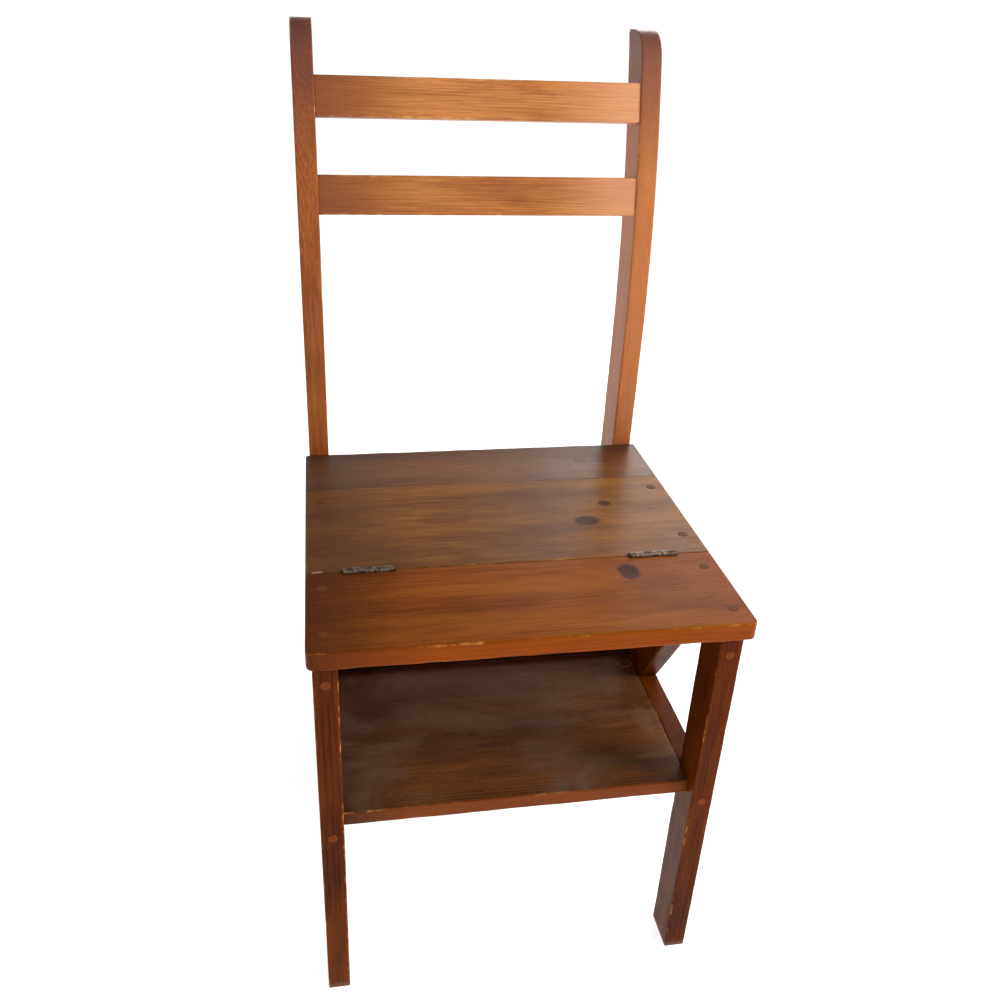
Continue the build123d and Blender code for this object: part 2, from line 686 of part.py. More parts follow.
# Screws, plugs and dowels: like ones share a node.
add("leg_screws", Compound([screw(fixing) for fixing in leg_fixings]))
add("front_stringer_screws", Compound([screw(fixing) for fixing in front_stringer_fixings]))
add("front_seat_screws", Compound([screw(fixing) for fixing in front_seat_fixings]))
add("shelf_screws", Compound([screw(fixing) for fixing in shelf_fixings]))
add("back_stringer_screws", Compound([screw(fixing) for fixing in back_stringer_fixings]))
add("post_screws", Compound([screw(fixing) for fixing in post_fixings]))
add("back_seat_screws", Compound([screw(fixing) for fixing in back_seat_fixings]))
add("step_screws", Compound([screw(fixing) for fixing in step_fixings]))

add("leg_plugs", Compound(front_plugs["leg"]))
add("front_stringer_plugs", Compound(front_plugs["stringer"]))
add("shelf_plugs", Compound(front_plugs["shelf"]))
add("front_seat_plugs", Compound([plug(fixing, front_board_blank) for fixing in front_seat_fixings]))
add("back_stringer_plugs", Compound(back_plugs["stringer"]))
add("post_plugs", Compound(back_plugs["post"]))
add("step_plugs", Compound(back_plugs["step"]))
add("back_seat_plugs", Compound([plug(fixing, middle_board_blank) for fixing in back_seat_fixings]))

add("slat_dowels", Compound([dowel(centre, (1, 0, 0)) for centre in slat_centres]))
add("seat_dowels", Compound([dowel(centre, BACKWARD) for centre in seat_dowel_centres]))

# The two butt hinges.
for name, centre_x in hinge_centres.items():
    add(f"hinge_front_leaf_{name}", hinge_leaf(centre_x, "front"))
    add(f"hinge_back_leaf_{name}", hinge_leaf(centre_x, "back"))
    add(f"hinge_pin_{name}", hinge_pin(centre_x))
for half in ("front", "back"):
    frames = []
    for centre_x in hinge_centres.values():
        frames += leaf_screw_frames(centre_x, half)
    add(f"hinge_{half}_screws", Compound([frame * leaf_screw(slotted=True) for frame in frames]))

# ---------------------------------------------------------------- save

overall_depth = nodes["back_post_left"].bounding_box().max.Y
os.makedirs("parts", exist_ok=True)
to_origin = Pos(0, -overall_depth / 2, 0)
for node, shape in nodes.items():
    export_step(to_origin * shape, f"parts/{node}.step")
print(f"{len(nodes)} nodes, chair {SEAT_WIDTH} x {overall_depth:.3f} x {POST_HEIGHT}")
print(f"hinge line {HINGE_Y - overall_depth / 2:.3f} from the origin, at z {HINGE_Z}")
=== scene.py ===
import math
import bmesh
import bpy
import numpy as np
from mathutils import Matrix, Vector


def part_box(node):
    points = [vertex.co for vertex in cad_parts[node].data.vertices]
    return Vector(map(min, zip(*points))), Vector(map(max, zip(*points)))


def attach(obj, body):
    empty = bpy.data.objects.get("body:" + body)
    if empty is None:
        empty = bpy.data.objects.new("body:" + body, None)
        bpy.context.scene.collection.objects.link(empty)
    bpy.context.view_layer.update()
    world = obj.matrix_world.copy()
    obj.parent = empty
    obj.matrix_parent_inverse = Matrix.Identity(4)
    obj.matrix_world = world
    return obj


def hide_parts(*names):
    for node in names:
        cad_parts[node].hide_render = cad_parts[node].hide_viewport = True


# Folding library step chair. Every wooden member is a bar: a rounded section carried along a
# line, with its own worn arrises and its own length of timber. Sizes are in millimetres until a
# mesh is made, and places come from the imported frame.

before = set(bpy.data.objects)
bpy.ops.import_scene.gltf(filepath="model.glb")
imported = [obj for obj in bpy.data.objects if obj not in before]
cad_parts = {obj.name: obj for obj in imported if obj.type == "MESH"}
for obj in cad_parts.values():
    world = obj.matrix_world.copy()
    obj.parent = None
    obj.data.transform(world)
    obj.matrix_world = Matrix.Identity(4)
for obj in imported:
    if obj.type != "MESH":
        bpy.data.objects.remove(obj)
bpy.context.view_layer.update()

MM = 0.001
SIDES = {"left": -1, "right": 1}


def span(node):
    """Lowest and highest corner of a node, in millimetres."""
    low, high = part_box(node)
    return np.array(low) * 1000.0, np.array(high) * 1000.0


SEAT_FRONT_Y = span("seat_front_board")[0][1]
SEAT_TOP = span("seat_front_board")[1][2]
SEAT_UNDERSIDE = span("seat_front_board")[0][2]
SEAT_MIDDLE_Z = (SEAT_TOP + SEAT_UNDERSIDE) / 2
HINGE_Y = (span("seat_front_board")[1][1] + span("seat_middle_board")[0][1]) / 2
HINGE_Z = (span("hinge_pin_left")[0][2] + span("hinge_pin_left")[1][2]) / 2
POST_FRONT_Y = span("back_post_left")[0][1]
POST_TOP = span("back_post_left")[1][2]
POST_DEPTH = 47.0
POST_CURVE_RADIUS = 1150.0
POST_STRAIGHT = 120.0          # from the hinge's height up and down to where the post starts to curve
POST_STRAIGHT_TOP = HINGE_Z + POST_STRAIGHT
POST_TOP_RADIUS = 34.0
POST_BACK_RADIUS = 4.0
SLAT_HEIGHT = 40.0
SLAT_THICKNESS = 15.0
SLAT_LEANS = {"lower_back_slat": 8.53, "upper_back_slat": 13.32}
BARREL_GROOVE = 3.65           # from the pin's middle down to the floor of its groove
BARREL_CLEARANCE = 0.4         # past each end of the pin
STRINGER_WIDTH = 42.5
PARTING_GAP = 1.0              # between the two halves' slanting members
PARTING_SETBACK = 29.5         # from the post's foot forward to where the parting meets the floor


# ---------------------------------------------------------------- bars of timber

ARC_POINTS = 4
ARRIS_WEAR = 0.75              # at the two points where an arris meets its faces, against 1 on it
FADE = 2.6                     # how far wear reaches from an arris onto a face
SHARP_ANGLE = 50               # degrees between faces, from where an edge is drawn sharp


def section(half_a, half_b, radius, middles, split):
    """Rounded rectangles round the origin, one to a station. Each corner is a quarter circle of its
    own radius at that station; each side has a point a little way in from both arcs, evenly
    spaced ones between, and two at height split on the sides a is constant on."""
    corners = ((1, 1), (-1, 1), (-1, -1), (1, -1))
    angles = np.radians(np.linspace(0, 90, ARC_POINTS + 1))
    points_a, points_b, weights = [], [], []
    arcs = []
    for k, (sign_a, sign_b) in enumerate(corners):
        r = radius[:, k, None]
        turn = angles + k * math.pi / 2
        arc_a = sign_a * (half_a[:, None] - r) + r * np.cos(turn)
        arc_b = sign_b * (half_b[:, None] - r) + r * np.sin(turn)
        arcs.append((arc_a, arc_b))
    for k in range(4):
        arc_a, arc_b = arcs[k]
        next_a, next_b = arcs[(k + 1) % 4]
        points_a.append(arc_a)
        points_b.append(arc_b)
        weights += [ARRIS_WEAR] + [1.0] * (ARC_POINTS - 1) + [ARRIS_WEAR]
        start = np.stack([arc_a[:, -1], arc_b[:, -1]], 1)
        end = np.stack([next_a[:, 0], next_b[:, 0]], 1)
        length = np.maximum(np.linalg.norm(end - start, axis=1), 1e-6)
        fade = np.minimum(FADE / length, 0.3)
        count = middles[k % 2]
        shares = [fade] + [fade + (1 - 2 * fade) * (i + 1) / (count + 1) for i in range(count)] + [1 - fade]
        if split is not None and k % 2:
            level_share = (split - start[:, 1]) / (end[:, 1] - start[:, 1])
            pair = [level_share, level_share]
            shares = pair + [1 - fade] if k == 1 else [fade] + pair
        for share in shares:
            points_a.append((start[:, 0] + (end[:, 0] - start[:, 0]) * share)[:, None])
            points_b.append((start[:, 1] + (end[:, 1] - start[:, 1]) * share)[:, None])
        weights += [0.0] * len(shares)
    return np.hstack(points_a), np.hstack(points_b), np.array(weights)


def skin(name, xyz, edge, grain):
    """A closed surface through rings of points: each ring joins the next with quads, and the first
    and last have already closed onto a line. edge and grain become the mesh's own attributes."""
    stations, around = xyz.shape[:2]
    row = np.arange(stations - 1)[:, None] * around
    col = np.arange(around)[None, :]
    following = (col + 1) % around
    quads = np.stack([row + col, row + following, row + around + following, row + around + col], -1)
    mesh = bpy.data.meshes.new(name)
    mesh.from_pydata((xyz.reshape(-1, 3) * MM).tolist(), [], quads.reshape(-1, 4).tolist())
    wear = mesh.attributes.new("edge", "FLOAT", "POINT")
    wear.data.foreach_set("value", edge.reshape(-1).astype(np.float32))
    fibre = mesh.attributes.new("grain", "FLOAT_VECTOR", "POINT")
    fibre.data.foreach_set("vector", (grain.reshape(-1, 3) * MM).reshape(-1).astype(np.float32))
    work = bmesh.new()
    work.from_mesh(mesh)
    bmesh.ops.remove_doubles(work, verts=work.verts, dist=2e-6)
    bmesh.ops.recalc_face_normals(work, faces=work.faces)
    work.to_mesh(mesh)
    work.free()
    mesh.shade_smooth()
    mesh.set_sharp_from_angle(angle=math.radians(SHARP_ANGLE))
    piece = bpy.data.objects.new(name, mesh)
    bpy.context.scene.collection.objects.link(piece)
    return piece


def bar(name, ends, low, high, thickness, place, seed, arris=1.6, end_arris=1.2, step=6.0,
        extra=(), corner_scale=(1, 1, 1, 1), middles=(3, 1), split=None, shape=None, nicks=0, turn=0.0):
    """A worn bar. Stations run along t between the two ends, each end rounded over by a quarter
    circle and then closed onto the section's middle line. At a station the section reaches from
    low(t) to high(t) across and half the thickness each way; its corners have the arris radius,
    scaled by slow noise along the length and by a few nicks. shape(t, a, b) may move the points
    of the section, and place(t, a, b) carries them into the frame."""
    rng = np.random.default_rng(seed)
    start, finish = ends
    inner = np.arange(start + end_arris + FADE, finish - end_arris - FADE, step)
    inner = np.concatenate([inner, [finish - end_arris - FADE], np.asarray(extra, float)])
    inner = np.sort(inner[(inner > start + end_arris) & (inner < finish - end_arris)], kind="stable")
    curve = np.radians(np.linspace(90, 0, 5))
    ease_in = end_arris * (1 - np.sin(curve))
    ease_inset = end_arris * (1 - np.cos(curve))
    t = np.concatenate([[start] * 4, start + ease_in, inner, (finish - ease_in)[::-1], [finish] * 4])
    flat = np.full(4, end_arris)
    inset = np.concatenate([flat, ease_inset, np.zeros(len(inner)), ease_inset[::-1], flat])
    close = np.array([0.0, 0.3, 0.6, 0.85])
    shrink = np.concatenate([close, np.ones(len(curve) * 2 + len(inner)), close[::-1]])
    at_end = np.concatenate([[0.0, 0.0, 0.0, 0.0], [0.7, 1, 1, 1, 0.7], np.zeros(len(inner)),
                             [0.7, 1, 1, 1, 0.7], [0.0, 0.0, 0.0, 0.0]])

    knots = np.arange(start - 40, finish + 60, 18.0)
    radius = np.stack([np.interp(t, knots, rng.uniform(0.75, 1.35, len(knots))) for _ in range(4)], 1)
    radius *= arris * np.array(corner_scale)[None, :]
    chip = np.zeros((len(t), 4))
    for _ in range(nicks):
        where, corner = rng.uniform(start + 20, finish - 20), rng.integers(4)
        chip[:, corner] += rng.uniform(0.4, 1.0) * np.exp(-((t - where) / rng.uniform(2.5, 6.0)) ** 2)
    radius += chip * (np.array(corner_scale) > 0.9)
    low_t, high_t = low(t), high(t)
    middle = (low_t + high_t) / 2
    half_a = (high_t - low_t) / 2 - inset
    half_b = np.full_like(t, thickness / 2) - inset
    limit = np.minimum(half_a, half_b)[:, None] * 0.8
    radius = np.clip(radius - inset[:, None] * 0.9, 0.03, limit)
    a, b, weight = section(half_a, half_b, radius, middles, split)
    edge = np.maximum(weight[None, :], at_end[:, None]) * np.where(shrink < 1, 0.0, 1.0)[:, None]
    if shape is not None:
        a, b = shape(t[:, None], a, b, high_t[:, None] - middle[:, None])
    spare_a = np.maximum(half_a - half_b, 0)[:, None]
    spare_b = np.maximum(half_b - half_a, 0)[:, None]
    core_a = np.clip(a, -spare_a, spare_a)
    core_b = np.clip(b, -spare_b, spare_b)
    a = core_a + (a - core_a) * shrink[:, None] + middle[:, None]
    b = core_b + (b - core_b) * shrink[:, None]
    along = np.broadcast_to(t[:, None], a.shape)
    xyz = place(along, a, b)
    c, s = math.cos(turn), math.sin(turn)
    offset = rng.uniform(0, 900, 3)
    grain = np.stack([along * c - a * s + offset[0], along * s + a * c + offset[1], b + offset[2]], -1)
    return skin(name, xyz, edge, grain)


def level(value):
    """The same value at every station."""
    return lambda t: np.full_like(t, value)


def across(z_middle):
    """Lies flat across the chair: t along X, a along Y, b up."""
    return lambda t, a, b: np.stack([t, a, z_middle + b], -1)


def upright(x_middle):
    """Stands in a side frame: t up, a along Y, b across the chair."""
    return lambda t, a, b: np.stack([x_middle + b, a, t], -1)


def lengthwise(x_middle, ends, start_line, end_line):
    """Lies in a side frame from front to back: a up, b across the chair, and t stretched so that
    both ends lie on their slanting or curved lines y(z)."""
    def place(t, a, b):
        share = (t - ends[0]) / (ends[1] - ends[0])
        y = start_line(a) * (1 - share) + end_line(a) * share
        return np.stack([x_middle + b, y, a], -1)
    return place


# ---------------------------------------------------------------- lines of the side frames


def post_front(z):
    """Front face of a post: straight in the middle, a large arc above and below."""
    rise = np.maximum(0, np.abs(z - HINGE_Z) - POST_STRAIGHT)
    return POST_FRONT_Y + POST_CURVE_RADIUS - np.sqrt(POST_CURVE_RADIUS**2 - rise**2)


def post_back(z):
    """Back face of a post, the same arcs one post's depth further in."""
    rise = np.maximum(0, np.abs(z - HINGE_Z) - POST_STRAIGHT)
    inner = POST_CURVE_RADIUS - POST_DEPTH
    return POST_FRONT_Y + POST_DEPTH + inner - np.sqrt(inner**2 - rise**2)


def post_low(z):
    """Front of the post with its rounded top: a circle that touches the arc from inside."""
    centre_z = POST_TOP - POST_TOP_RADIUS
    reach = POST_CURVE_RADIUS - POST_TOP_RADIUS
    centre_y = POST_FRONT_Y + POST_CURVE_RADIUS - math.sqrt(reach**2 - (centre_z - POST_STRAIGHT_TOP) ** 2)
    touch = POST_STRAIGHT_TOP + (centre_z - POST_STRAIGHT_TOP) * POST_CURVE_RADIUS / reach
    rounded = centre_y - np.sqrt(np.maximum(POST_TOP_RADIUS**2 - (z - centre_z) ** 2, 0))
    return np.where(z > touch, rounded, post_front(np.minimum(z, POST_TOP)))


def post_high(z):
    """Back of the post, its top corner rounded off by a small circle."""
    centre_z = POST_TOP - POST_BACK_RADIUS
    centre_y = float(post_back(np.array(centre_z))) - POST_BACK_RADIUS
    rounded = centre_y + np.sqrt(np.maximum(POST_BACK_RADIUS**2 - (z - centre_z) ** 2, 0))
    return np.where(z > centre_z, rounded, post_back(np.minimum(z, POST_TOP)))


PARTING_FOOT_Y = float(post_front(np.array(0.0))) - PARTING_SETBACK
PARTING_RUN = (PARTING_FOOT_Y - HINGE_Y) / SEAT_UNDERSIDE
PARTING_LENGTH = math.hypot(1, PARTING_RUN)
STRINGER_RUN = STRINGER_WIDTH * PARTING_LENGTH
SLANT = math.atan(PARTING_RUN)


def parting(z):
    """The plane where the two halves part: it comes forward from the floor up to the hinges."""
    return HINGE_Y + (SEAT_UNDERSIDE - z) * PARTING_RUN


def front_stringer_back(z):
    return parting(z) - PARTING_GAP / 2 * PARTING_LENGTH


def front_stringer_front(z):
    return front_stringer_back(z) - STRINGER_RUN


def back_stringer_front(z):
    return parting(z) + PARTING_GAP / 2 * PARTING_LENGTH


def back_stringer_back(z):
    return back_stringer_front(z) + STRINGER_RUN


def back_brace_back(z):
    """Back of the back brace, which stops at the post where the two meet."""
    return np.minimum(back_stringer_back(z), post_front(z))


# ---------------------------------------------------------------- materials


class Tree:
    """A small helper round a material's node tree."""

    def __init__(self, name):
        self.material = bpy.data.materials.new(name)
        self.material.use_nodes = True
        self.tree = self.material.node_tree
        self.tree.nodes.clear()
        self.shader = self.add("ShaderNodeBsdfPrincipled")
        out = self.add("ShaderNodeOutputMaterial")
        self.tree.links.new(self.shader.outputs[0], out.inputs[0])

    def add(self, kind, inputs=None, **settings):
        made = self.tree.nodes.new(kind)
        for key, value in settings.items():
            setattr(made, key, value)
        for key, value in (inputs or {}).items():
            self.put(made.inputs[key], value)
        return made

    def put(self, socket, value):
        if isinstance(value, bpy.types.NodeSocket):
            self.tree.links.new(value, socket)
        else:
            socket.default_value = value

    def math(self, operation, first, second=0.0, third=0.0, clamp=False):
        made = self.add("ShaderNodeMath", operation=operation, use_clamp=clamp)
        for i, value in enumerate((first, second, third)):
            self.put(made.inputs[i], value)
        return made.outputs[0]

    def vector(self, operation, first, second=(0, 0, 0)):
        made = self.add("ShaderNodeVectorMath", operation=operation)
        self.put(made.inputs[0], first)
        if operation != "LENGTH":
            self.put(made.inputs[1], second)
        return made.outputs["Value"] if operation == "LENGTH" else made.outputs["Vector"]

    def axis(self, place, letter):
        """One coordinate of a place."""
        return self.add("ShaderNodeSeparateXYZ", {0: place}).outputs["XYZ".index(letter)]

    def noise(self, place, waves, detail=2.0, roughness=0.5, distortion=0.0):
        """Noise with so many waves to the metre along each axis."""
        stretched = self.vector("MULTIPLY", place, waves)
        made = self.add("ShaderNodeTexNoise", {"Vector": stretched, "Scale": 1.0, "Detail": detail,
                                              "Roughness": roughness, "Distortion": distortion})
        return made.outputs["Fac"]

    def ramp(self, value, low, high):
        """0 below low, 1 above high, and a smooth step between."""
        made = self.add("ShaderNodeMapRange", {"Value": value, "From Min": low, "From Max": high},
                        interpolation_type="SMOOTHSTEP", clamp=True)
        return made.outputs[0]

    def mix(self, share, first, second):
        made = self.add("ShaderNodeMix", data_type="RGBA", clamp_factor=True)
        self.put(made.inputs[0], share)
        for socket, value in ((made.inputs[6], first), (made.inputs[7], second)):
            self.put(socket, value if isinstance(value, bpy.types.NodeSocket) else (*value, 1.0))
        return made.outputs[2]

    def attribute(self, name, output):
        return self.add("ShaderNodeAttribute", attribute_name=name).outputs[output]

    def place(self):
        return self.add("ShaderNodeTexCoord").outputs["Object"]

    def bump(self, height, distance, strength=1.0):
        made = self.add("ShaderNodeBump", {"Height": height, "Distance": distance, "Strength": strength})
        self.put(self.shader.inputs["Normal"], made.outputs[0])


# Noise, in waves to the metre: along the grain and twice across it.
RING_BEND = (2.2, 11.0, 11.0)
RING_SHAKE = (14.0, 60.0, 60.0)
RING_UNEVENNESS = (1.0, 75.0, 75.0)
RING_PATCHES = (2.0, 28.0, 28.0)
FIBRES = (22.0, 850.0, 850.0)
PORES = (60.0, 2100.0, 2100.0)
STREAKS = (2.6, 62.0, 62.0)
GOLDEN_PATCHES = (4.0, 26.0, 26.0)
STAIN_CLOUDS = (5.0, 16.0, 16.0)
# Noise over the piece: along X, Y and Z.
SPECKLE = (160.0, 160.0, 160.0)
SCUFFS = (90.0, 90.0, 90.0)
WORN_PATCHES = (14.0, 14.0, 14.0)
SHEEN_PATCHES = (30.0, 30.0, 30.0)
DUST_FILM = (9.0, 13.0, 9.0)
DUST_SPECKS = (260.0, 260.0, 260.0)

RING_TILT = 0.55               # how much of the thickness counts beside the width
RING_SHAKE_REACH = 1.6         # mm
PORE_SHADE = 0.45              # how dark and how strong the pores are against the dark tone
KNOT_BARK = (0.085, 0.017, 0.003)
KNOT_HEART = (0.026, 0.004, 0.001)
DUST_COLOUR = (0.215, 0.150, 0.105)
TOP_FILM = 0.6                 # mm below the upper face, where marks and dust end
FADE_RAGGED = 0.25             # of a fade's length
RELIEF = 0.00009               # m, between the fibres


def growth_rings(m, grain, slow, quick, wander):
    """Distance across the grain, in metres, bent by slow noise and shaken by quick noise."""
    parts = m.add("ShaderNodeSeparateXYZ", {0: grain})
    ring = m.math("MULTIPLY_ADD", parts.outputs[2], RING_TILT, parts.outputs[1])
    ring = m.math("MULTIPLY_ADD", m.math("SUBTRACT", slow, 0.5), wander * 2 * MM, ring)
    return m.math("MULTIPLY_ADD", m.math("SUBTRACT", quick, 0.5), RING_SHAKE_REACH * MM, ring)


def ellipse(m, place, x, y, wide, deep):
    """Place measured from an ellipse's middle, in its own half widths."""
    off = m.vector("SUBTRACT", place, (x * MM, y * MM, 0.0))
    return m.vector("MULTIPLY", off, (1 / (wide * MM), 1 / (deep * MM), 0.0))


def knotted(m, place, quick, ring, knots):
    """Pushes the rings aside round each knot, by its height times a bell curve of the distance, and
    returns them with a mask that is 1 inside the knots."""
    mask = None
    for x, y, wide, deep in knots:
        off = ellipse(m, place, x, y, wide, deep)
        away = m.math("MULTIPLY_ADD", m.math("SUBTRACT", quick, 0.5), 0.5, m.vector("LENGTH", off))
        height = m.math("MULTIPLY", m.axis(off, "Y"), deep * MM)
        spread = m.math("POWER", m.math("MULTIPLY", away, 0.42), 2.0)
        push = m.math("EXPONENT", m.math("MULTIPLY", spread, -1.0))
        ring = m.math("SUBTRACT", ring, m.math("MULTIPLY", m.math("MULTIPLY", height, push), 0.85))
        inside = m.math("SUBTRACT", 1.0, m.ramp(away, 0.72, 1.25))
        mask = inside if mask is None else m.math("MAXIMUM", mask, inside)
    return ring, mask


def timber(name, light, dark, stain, worn, spacing=3.2, lines=0.55, cloud=0.5, wear=0.5,
           roughness=0.36, dust=0.0, knots=(), wander=9.0, gloss=0.12, fades=(), amber=None, marks=(),
           top=SEAT_TOP):
    """Stained and varnished pine. Growth rings are a sine of the distance across the grain, bent by
    slow noise; fibres and pores are noise drawn out along the grain; the stain lies darker in
    soft clouds; the varnish is worn through along the arrises, and knots push the rings aside.
    fades tint the wood along an axis, some as its own colour and some as painted light and shade; marks,
    small ragged ellipses, and dust lie only at top."""
    m = Tree(name)
    grain = m.attribute("grain", "Vector")
    edge = m.attribute("edge", "Fac")
    place = m.place()
    slow = m.noise(grain, RING_BEND)
    quick = m.noise(grain, RING_SHAKE)
    ring = growth_rings(m, grain, slow, quick, wander)
    ring, knot_mask = knotted(m, place, quick, ring, knots)

    # bands of late wood, fibres and streaks darken the light tone
    uneven = m.noise(grain, RING_UNEVENNESS)
    phase = m.math("MULTIPLY_ADD", ring, 2 * math.pi / (spacing * MM), m.math("MULTIPLY", uneven, 11.0))
    band = m.math("MULTIPLY_ADD", m.math("SINE", phase), 0.5, 0.5)
    present = m.ramp(m.noise(grain, RING_PATCHES), 0.30, 0.66)
    late = m.math("MULTIPLY", m.math("POWER", band, 2.2), present)
    fibre = m.noise(grain, FIBRES, 3.0, 0.6)
    pores = m.ramp(m.noise(grain, PORES, 1.0), 0.60, 0.72)
    streak = m.ramp(m.noise(grain, STREAKS, 3.0, 0.6), 0.33, 0.70)
    share = m.math("MULTIPLY", late, lines)
    share = m.math("ADD", share, m.math("MULTIPLY", m.ramp(fibre, 0.34, 0.66), 0.50))
    share = m.math("ADD", share, m.math("MULTIPLY", streak, 0.32), clamp=True)
    colour = m.mix(share, light, dark)
    if amber is not None:
        golden = m.ramp(m.noise(grain, GOLDEN_PATCHES, 3.0, 0.6), 0.45, 0.72)
        colour = m.mix(m.math("MULTIPLY", golden, 0.55), colour, amber)
    colour = m.mix(m.math("MULTIPLY", pores, PORE_SHADE), colour, tuple(c * PORE_SHADE for c in dark))
    clouds = m.ramp(m.noise(grain, STAIN_CLOUDS, 4.0, 0.6), 0.42, 0.70)
    colour = m.mix(m.math("MULTIPLY", clouds, cloud), colour, stain)

    # each fade mixes a tint in along one axis: the wood's own colour for some, painted light and shade for
    # others
    for letter, start, stop, tint, amount in fades:
        waver = m.math("SUBTRACT", slow, 0.5)
        ragged = m.math("MULTIPLY_ADD", waver, FADE_RAGGED * abs(stop - start) * MM, m.axis(place, letter))
        reach = m.ramp(ragged, min(start, stop) * MM, max(start, stop) * MM)
        reach = m.math("SUBTRACT", 1.0, reach) if stop < start else reach
        colour = m.mix(m.math("MULTIPLY", reach, amount), colour, tint)

    speckle = m.noise(place, SPECKLE, 3.0)
    if knot_mask is not None:
        colour = m.mix(m.math("MULTIPLY", knot_mask, 0.80), colour, KNOT_BARK)
        heart = m.math("MULTIPLY", m.ramp(knot_mask, 0.6, 1.0), m.math("MULTIPLY", speckle, 1.1))
        colour = m.mix(heart, colour, KNOT_HEART)
    upper = m.ramp(m.axis(place, "Z"), (top - TOP_FILM) * MM, top * MM)
    for x, y, wide, deep, tint, amount in marks:
        distance = m.vector("LENGTH", ellipse(m, place, x, y, wide, deep))
        away = m.math("MULTIPLY_ADD", m.math("SUBTRACT", speckle, 0.5), 1.4, distance)
        near = m.math("MULTIPLY", m.math("SUBTRACT", 1.0, m.ramp(away, 0.65, 1.15)), upper)
        colour = m.mix(m.math("MULTIPLY", near, amount), colour, tint)

    # the varnish and stain are rubbed off the arrises, more in some places than others
    rubbed = m.math("MULTIPLY", m.noise(place, SCUFFS, 3.0, 0.6), 0.8)
    rubbed = m.math("ADD", rubbed, m.math("MULTIPLY", m.noise(place, WORN_PATCHES), 0.8))
    worn_share = m.ramp(m.math("MULTIPLY", edge, rubbed), 1.05 - 0.55 * wear, 1.30 - 0.45 * wear)
    colour = m.mix(m.math("MULTIPLY", worn_share, 0.9), colour, worn)
    rough = m.math("MULTIPLY_ADD", m.noise(place, SHEEN_PATCHES, 3.0), 0.22, roughness - 0.11)
    rough = m.math("MULTIPLY_ADD", worn_share, 0.18, rough)
    if dust:
        film = m.ramp(m.noise(place, DUST_FILM, 4.0, 0.62, 0.8), 0.40, 0.72)
        specks = m.ramp(m.noise(place, DUST_SPECKS), 0.62, 0.74)
        layer = m.math("MULTIPLY", m.math("MAXIMUM", film, m.math("MULTIPLY", specks, 0.6)), dust)
        layer = m.math("MULTIPLY", layer, upper)
        colour = m.mix(layer, colour, DUST_COLOUR)
        rough = m.math("MULTIPLY_ADD", layer, 0.35, rough)

    m.put(m.shader.inputs["Base Color"], colour)
    m.put(m.shader.inputs["Roughness"], rough)
    m.shader.inputs["Specular IOR Level"].default_value = gloss
    m.shader.inputs["Coat Weight"].default_value = gloss / 2
    m.shader.inputs["Coat Roughness"].default_value = 0.25
    relief = m.math("ADD", m.math("MULTIPLY", fibre, 0.7), m.math("MULTIPLY", band, 0.35))
    relief = m.math("SUBTRACT", relief, m.math("MULTIPLY", pores, 0.5))
    m.bump(relief, RELIEF, 0.8)
    return m.material


def metal(name, colour, tarnish, roughness):
    """Dull hardware: two tones of plating mixed by noise, with fine scratches."""
    m = Tree(name)
    place = m.place()
    blotch = m.ramp(m.noise(place, (240.0, 240.0, 240.0), 4.0, 0.6), 0.38, 0.66)
    scratch = m.noise(place, (500.0, 5200.0, 5200.0), 2.0)
    m.put(m.shader.inputs["Base Color"], m.mix(blotch, colour, tarnish))
    m.put(m.shader.inputs["Roughness"], m.math("MULTIPLY_ADD", blotch, 0.25, roughness))
    m.shader.inputs["Metallic"].default_value = 0.85
    m.bump(m.math("ADD", m.math("MULTIPLY", scratch, 0.4), blotch), 0.00002, 0.5)
    return m.material


def plain_wood(name, light, dark):
    """Unstained hidden wood for dowels: streaks of noise along X."""
    m = Tree(name)
    streaks = m.noise(m.place(), (60.0, 900.0, 900.0), 3.0)
    m.put(m.shader.inputs["Base Color"], m.mix(streaks, light, dark))
    m.shader.inputs["Roughness"].default_value = 0.6
    m.bump(streaks, 0.0001)
    return m.material


def plug_wood(name, light, dark, rim):
    """End and face grain of a plug: a dark line of glue and dirt round its rim."""
    m = Tree(name)
    edge = m.attribute("edge", "Fac")
    streaks = m.noise(m.place(), (500.0, 1500.0, 500.0), 3.0)
    colour = m.mix(streaks, light, dark)
    broken = m.noise(m.place(), (330.0, 330.0, 330.0), 2.0)
    dirt = m.math("MULTIPLY", m.ramp(edge, 0.55, 0.95), m.ramp(broken, 0.25, 0.55))
    m.put(m.shader.inputs["Base Color"], m.mix(dirt, colour, rim))
    m.shader.inputs["Roughness"].default_value = 0.45
    m.shader.inputs["Specular IOR Level"].default_value = 0.05
    m.bump(streaks, 0.0001, 0.6)
    return m.material


SEAT_BACK_Y = span("seat_rear_board")[1][1]
SHELF_TOP = span("shelf_board")[1][2]


def back(y):
    """A place measured backwards from the seat's front edge."""
    return SEAT_FRONT_Y + y
